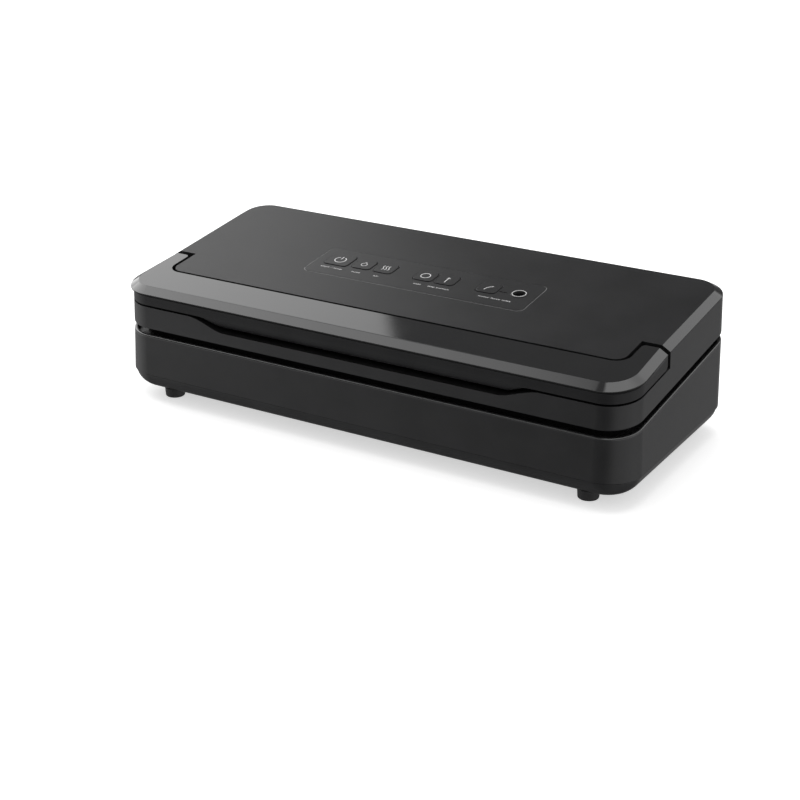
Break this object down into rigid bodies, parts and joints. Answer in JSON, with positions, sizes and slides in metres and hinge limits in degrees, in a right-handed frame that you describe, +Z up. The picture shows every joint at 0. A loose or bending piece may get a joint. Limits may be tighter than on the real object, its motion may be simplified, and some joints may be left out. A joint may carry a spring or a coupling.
{
  "type": "vacuum sealer",
  "caption": "Countertop vacuum sealer for food bags: long low body, sloping hinged lid with a control panel and hose port, and a U-shaped lift handle across the front that latches the lid.",
  "frame": {"origin": "on the ground under the centre of the body, at the level of the underside of the feet", "axes": "+X to the right along the long side, -Y to the front where bags go in and the handle is, +Z up"},
  "size_m": [0.4684, 0.2058, 0.1239],
  "materials": {
    "body_plastic": "moulded plastic, dark grey, fine satin texture",
    "handle_plastic": "plastic with a smooth grey metallic coat",
    "panel_plastic": "satin dark grey with printed light marks",
    "button_plastic": "satin dark grey with printed light marks",
    "inner_plastic": "plain dark moulded plastic",
    "tray_plastic": "mid grey, smooth",
    "foot_rubber": "matt black rubber",
    "gasket_silicone": "soft grey silicone",
    "steel": "bright zinc-plated steel",
    "heater_steel": "thin resistance ribbon",
    "glass_tape": "brown non-stick glass-cloth tape",
    "board": "green circuit board",
    "component": "black moulded component"
  },
  "bodies": {
    "base": {"base_shell": "body_plastic", "bottom_cover": "body_plastic", "roll_cradle": "inner_plastic", "drip_tray": "tray_plastic", "lower_gasket": "gasket_silicone", "sealing_bar": "inner_plastic", "heating_strip": "heater_steel", "heat_tape": "glass_tape", "cutter_rail": "inner_plastic", "pump_motor": "steel", "pump_head": "component", "vacuum_hose": "gasket_silicone", "release_valve": "component", "transformer": "steel", "power_board": "board", "capacitor": "component", "relay": "component", "lid_switch": "component", "cord_gland": "foot_rubber", "foot_front_left": "foot_rubber", "screw_front_left": "steel", "foot_front_right": "foot_rubber", "screw_front_right": "steel", "foot_rear_left": "foot_rubber", "screw_rear_left": "steel", "foot_rear_right": "foot_rubber", "screw_rear_right": "steel", "latch_keeper_left": "steel", "hinge_bracket_left": "steel", "hinge_pin_left": "steel", "latch_keeper_right": "steel", "hinge_bracket_right": "steel", "hinge_pin_right": "steel"},
    "lid": {"lid_shell": "body_plastic", "lid_liner": "inner_plastic", "upper_gasket": "gasket_silicone", "pressure_strip": "gasket_silicone", "control_panel": "panel_plastic", "control_board": "board", "port_collar": "panel_plastic", "port_tube": "gasket_silicone", "hinge_knuckle_left": "inner_plastic", "handle_pin_left": "steel", "hinge_knuckle_right": "inner_plastic", "handle_pin_right": "steel"},
    "handle": {"handle_cover": "handle_plastic", "handle_liner": "inner_plastic", "latch_hook_left": "steel", "latch_hook_right": "steel"},
    "cutter": {"cutter_carriage": "component", "cutter_blade": "steel"},
    "start_button": {"start_button": "button_plastic"},
    "moist_button": {"moist_button": "button_plastic"},
    "dry_button": {"dry_button": "button_plastic"},
    "seal_button": {"seal_button": "button_plastic"},
    "pulse_button": {"pulse_button": "button_plastic"},
    "hose_button": {"hose_button": "button_plastic"}
  },
  "joints": [
    {"name": "lid_hinge", "type": "hinge", "parent": "base", "child": "lid", "pos_m": [0, 0.094, 0.08538], "axis": [-1, 0, 0], "range_deg": [0, 70]},
    {"name": "handle_pivot", "type": "hinge", "parent": "lid", "child": "handle", "pos_m": [0, -0.03489, 0.10141], "axis": [-1, 0, 0], "range_deg": [0, 35]},
    {"name": "cutter_slide", "type": "slide", "parent": "base", "child": "cutter", "axis": [1, 0, 0], "range_m": [0, 0.29]},
    {"name": "start_press", "type": "slide", "parent": "lid", "child": "start_button", "axis": [0, 0.1207, -0.9927], "range_m": [0, 0.0008], "stiffness_N_per_m": 600},
    {"name": "moist_press", "type": "slide", "parent": "lid", "child": "moist_button", "axis": [0, 0.1207, -0.9927], "range_m": [0, 0.0008], "stiffness_N_per_m": 600},
    {"name": "dry_press", "type": "slide", "parent": "lid", "child": "dry_button", "axis": [0, 0.1207, -0.9927], "range_m": [0, 0.0008], "stiffness_N_per_m": 600},
    {"name": "seal_press", "type": "slide", "parent": "lid", "child": "seal_button", "axis": [0, 0.1207, -0.9927], "range_m": [0, 0.0008], "stiffness_N_per_m": 600},
    {"name": "pulse_press", "type": "slide", "parent": "lid", "child": "pulse_button", "axis": [0, 0.1207, -0.9927], "range_m": [0, 0.0008], "stiffness_N_per_m": 600},
    {"name": "hose_press", "type": "slide", "parent": "lid", "child": "hose_button", "axis": [0, 0.1207, -0.9927], "range_m": [0, 0.0008], "stiffness_N_per_m": 600}
  ]
}
